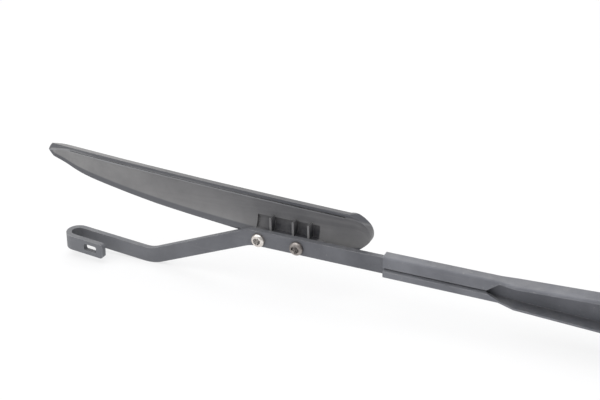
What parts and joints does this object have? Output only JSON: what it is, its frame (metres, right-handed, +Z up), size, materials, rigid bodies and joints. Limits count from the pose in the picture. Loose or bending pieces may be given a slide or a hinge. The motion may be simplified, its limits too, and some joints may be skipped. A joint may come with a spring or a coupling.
{
  "type": "wiper arm",
  "caption": "Windscreen wiper arm with a sprung hinge, folded channel, joggled flat bar with a blade hook, and a screwed-on wind deflector.",
  "frame": {"origin": "on the spindle axis, at the mouth of the bore on the head's underside", "axes": "+X from the hook to the head along the surface it lies on, +Z up on the deflector's side, -Y out of the bore toward the glass; the arm lies on its side"},
  "size_m": [0.4856, 0.0281, 0.0647],
  "materials": {
    "head_paint": "die casting under satin black paint",
    "cap_plastic": "fine grained black moulding",
    "pin_steel": "dull plated steel",
    "bush_bronze": "sintered bronze",
    "washer_plastic": "natural nylon",
    "link_steel": "black finished steel strip",
    "spring_steel": "dark oiled spring wire",
    "channel_paint": "faded satin black paint",
    "bar_paint": "faded satin black paint",
    "deflector_plastic": "weathered black moulding",
    "screw_dull": "tarnished steel",
    "screw_bright": "bright plating with rust in the cross"
  },
  "bodies": {
    "head": {"mounting_head": "head_paint", "nut_cap": "cap_plastic", "hinge_bush_upper": "bush_bronze", "hinge_bush_lower": "bush_bronze", "hinge_washer_upper": "washer_plastic", "hinge_washer_lower": "washer_plastic", "spring_pin": "pin_steel"},
    "arm": {"channel_arm": "channel_paint", "hook_bar": "bar_paint", "wind_deflector": "deflector_plastic", "deflector_screw_rear": "screw_dull", "deflector_screw_front": "screw_bright", "hinge_pin": "pin_steel", "anchor_rivet": "pin_steel", "tension_spring": "spring_steel"},
    "link": {"spring_link": "link_steel"}
  },
  "joints": [
    {"name": "arm_lift", "type": "hinge", "parent": "head", "child": "arm", "pos_m": [-0.04996, 0.0145, 0.00197], "axis": [-0.0394, 0, -0.9992], "range_deg": [0, 60], "stiffness_Nm_per_rad": 1.5, "springref_deg": -114.59},
    {"name": "link_slide", "type": "slide", "parent": "arm", "child": "link", "axis": [0.9946, -0.0958, -0.0392], "range_m": [0, 0.009], "deforming": ["tension_spring"]}
  ],
  "couplings": [
    {"joint": "link_slide", "follows": "arm_lift", "m_per_rad": 0.0085944}
  ]
}
